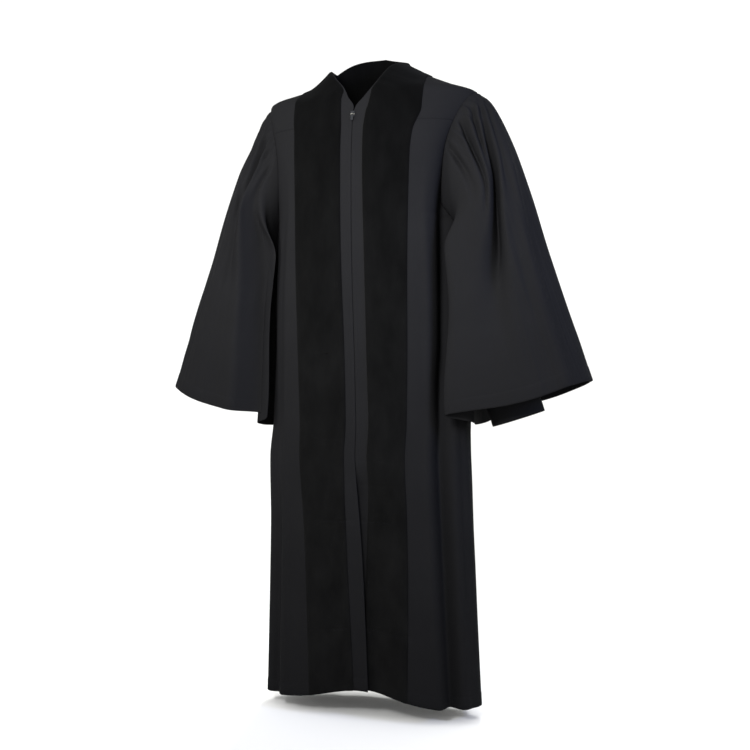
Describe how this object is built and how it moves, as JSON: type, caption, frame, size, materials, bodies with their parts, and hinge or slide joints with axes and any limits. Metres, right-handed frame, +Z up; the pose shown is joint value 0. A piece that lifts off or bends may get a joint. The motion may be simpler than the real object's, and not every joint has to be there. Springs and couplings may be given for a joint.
{
  "type": "clergy robe",
  "caption": "Black pulpit robe with bell sleeves gathered at the shoulder, inner cuffs, velvet front panels and a zipped V neck, hollow as if worn.",
  "frame": {"origin": "between the shoulders, level with the sides of the neck, where the wearer holds the robe up", "axes": "+X towards the wearer's left, -Y the front, +Z up"},
  "size_m": [0.9382, 0.2722, 1.3993],
  "materials": {
    "robe_cloth": "matt black polyester robe cloth with a faint sheen",
    "velvet": "deep black cotton velvet with a short nap",
    "zip_tape": "black woven tape",
    "nickel": "satin nickel plate"
  },
  "bodies": {
    "robe": {"back": "robe_cloth", "front_left": "robe_cloth", "front_right": "robe_cloth", "yoke_left": "robe_cloth", "yoke_right": "robe_cloth", "sleeve_left": "robe_cloth", "sleeve_right": "robe_cloth", "inner_sleeve_left": "robe_cloth", "inner_sleeve_right": "robe_cloth", "velvet_left": "velvet", "velvet_right": "velvet", "velvet_neck": "velvet", "zip_tape": "zip_tape", "zip_slider": "nickel"},
    "pull_tab": {"zip_pull": "nickel"}
  },
  "joints": [
    {"name": "pull_tab_swing", "type": "hinge", "parent": "robe", "child": "pull_tab", "pos_m": [0, -0.12342, -0.13283], "axis": [-1, 0, 0], "range_deg": [0, 160]}
  ]
}
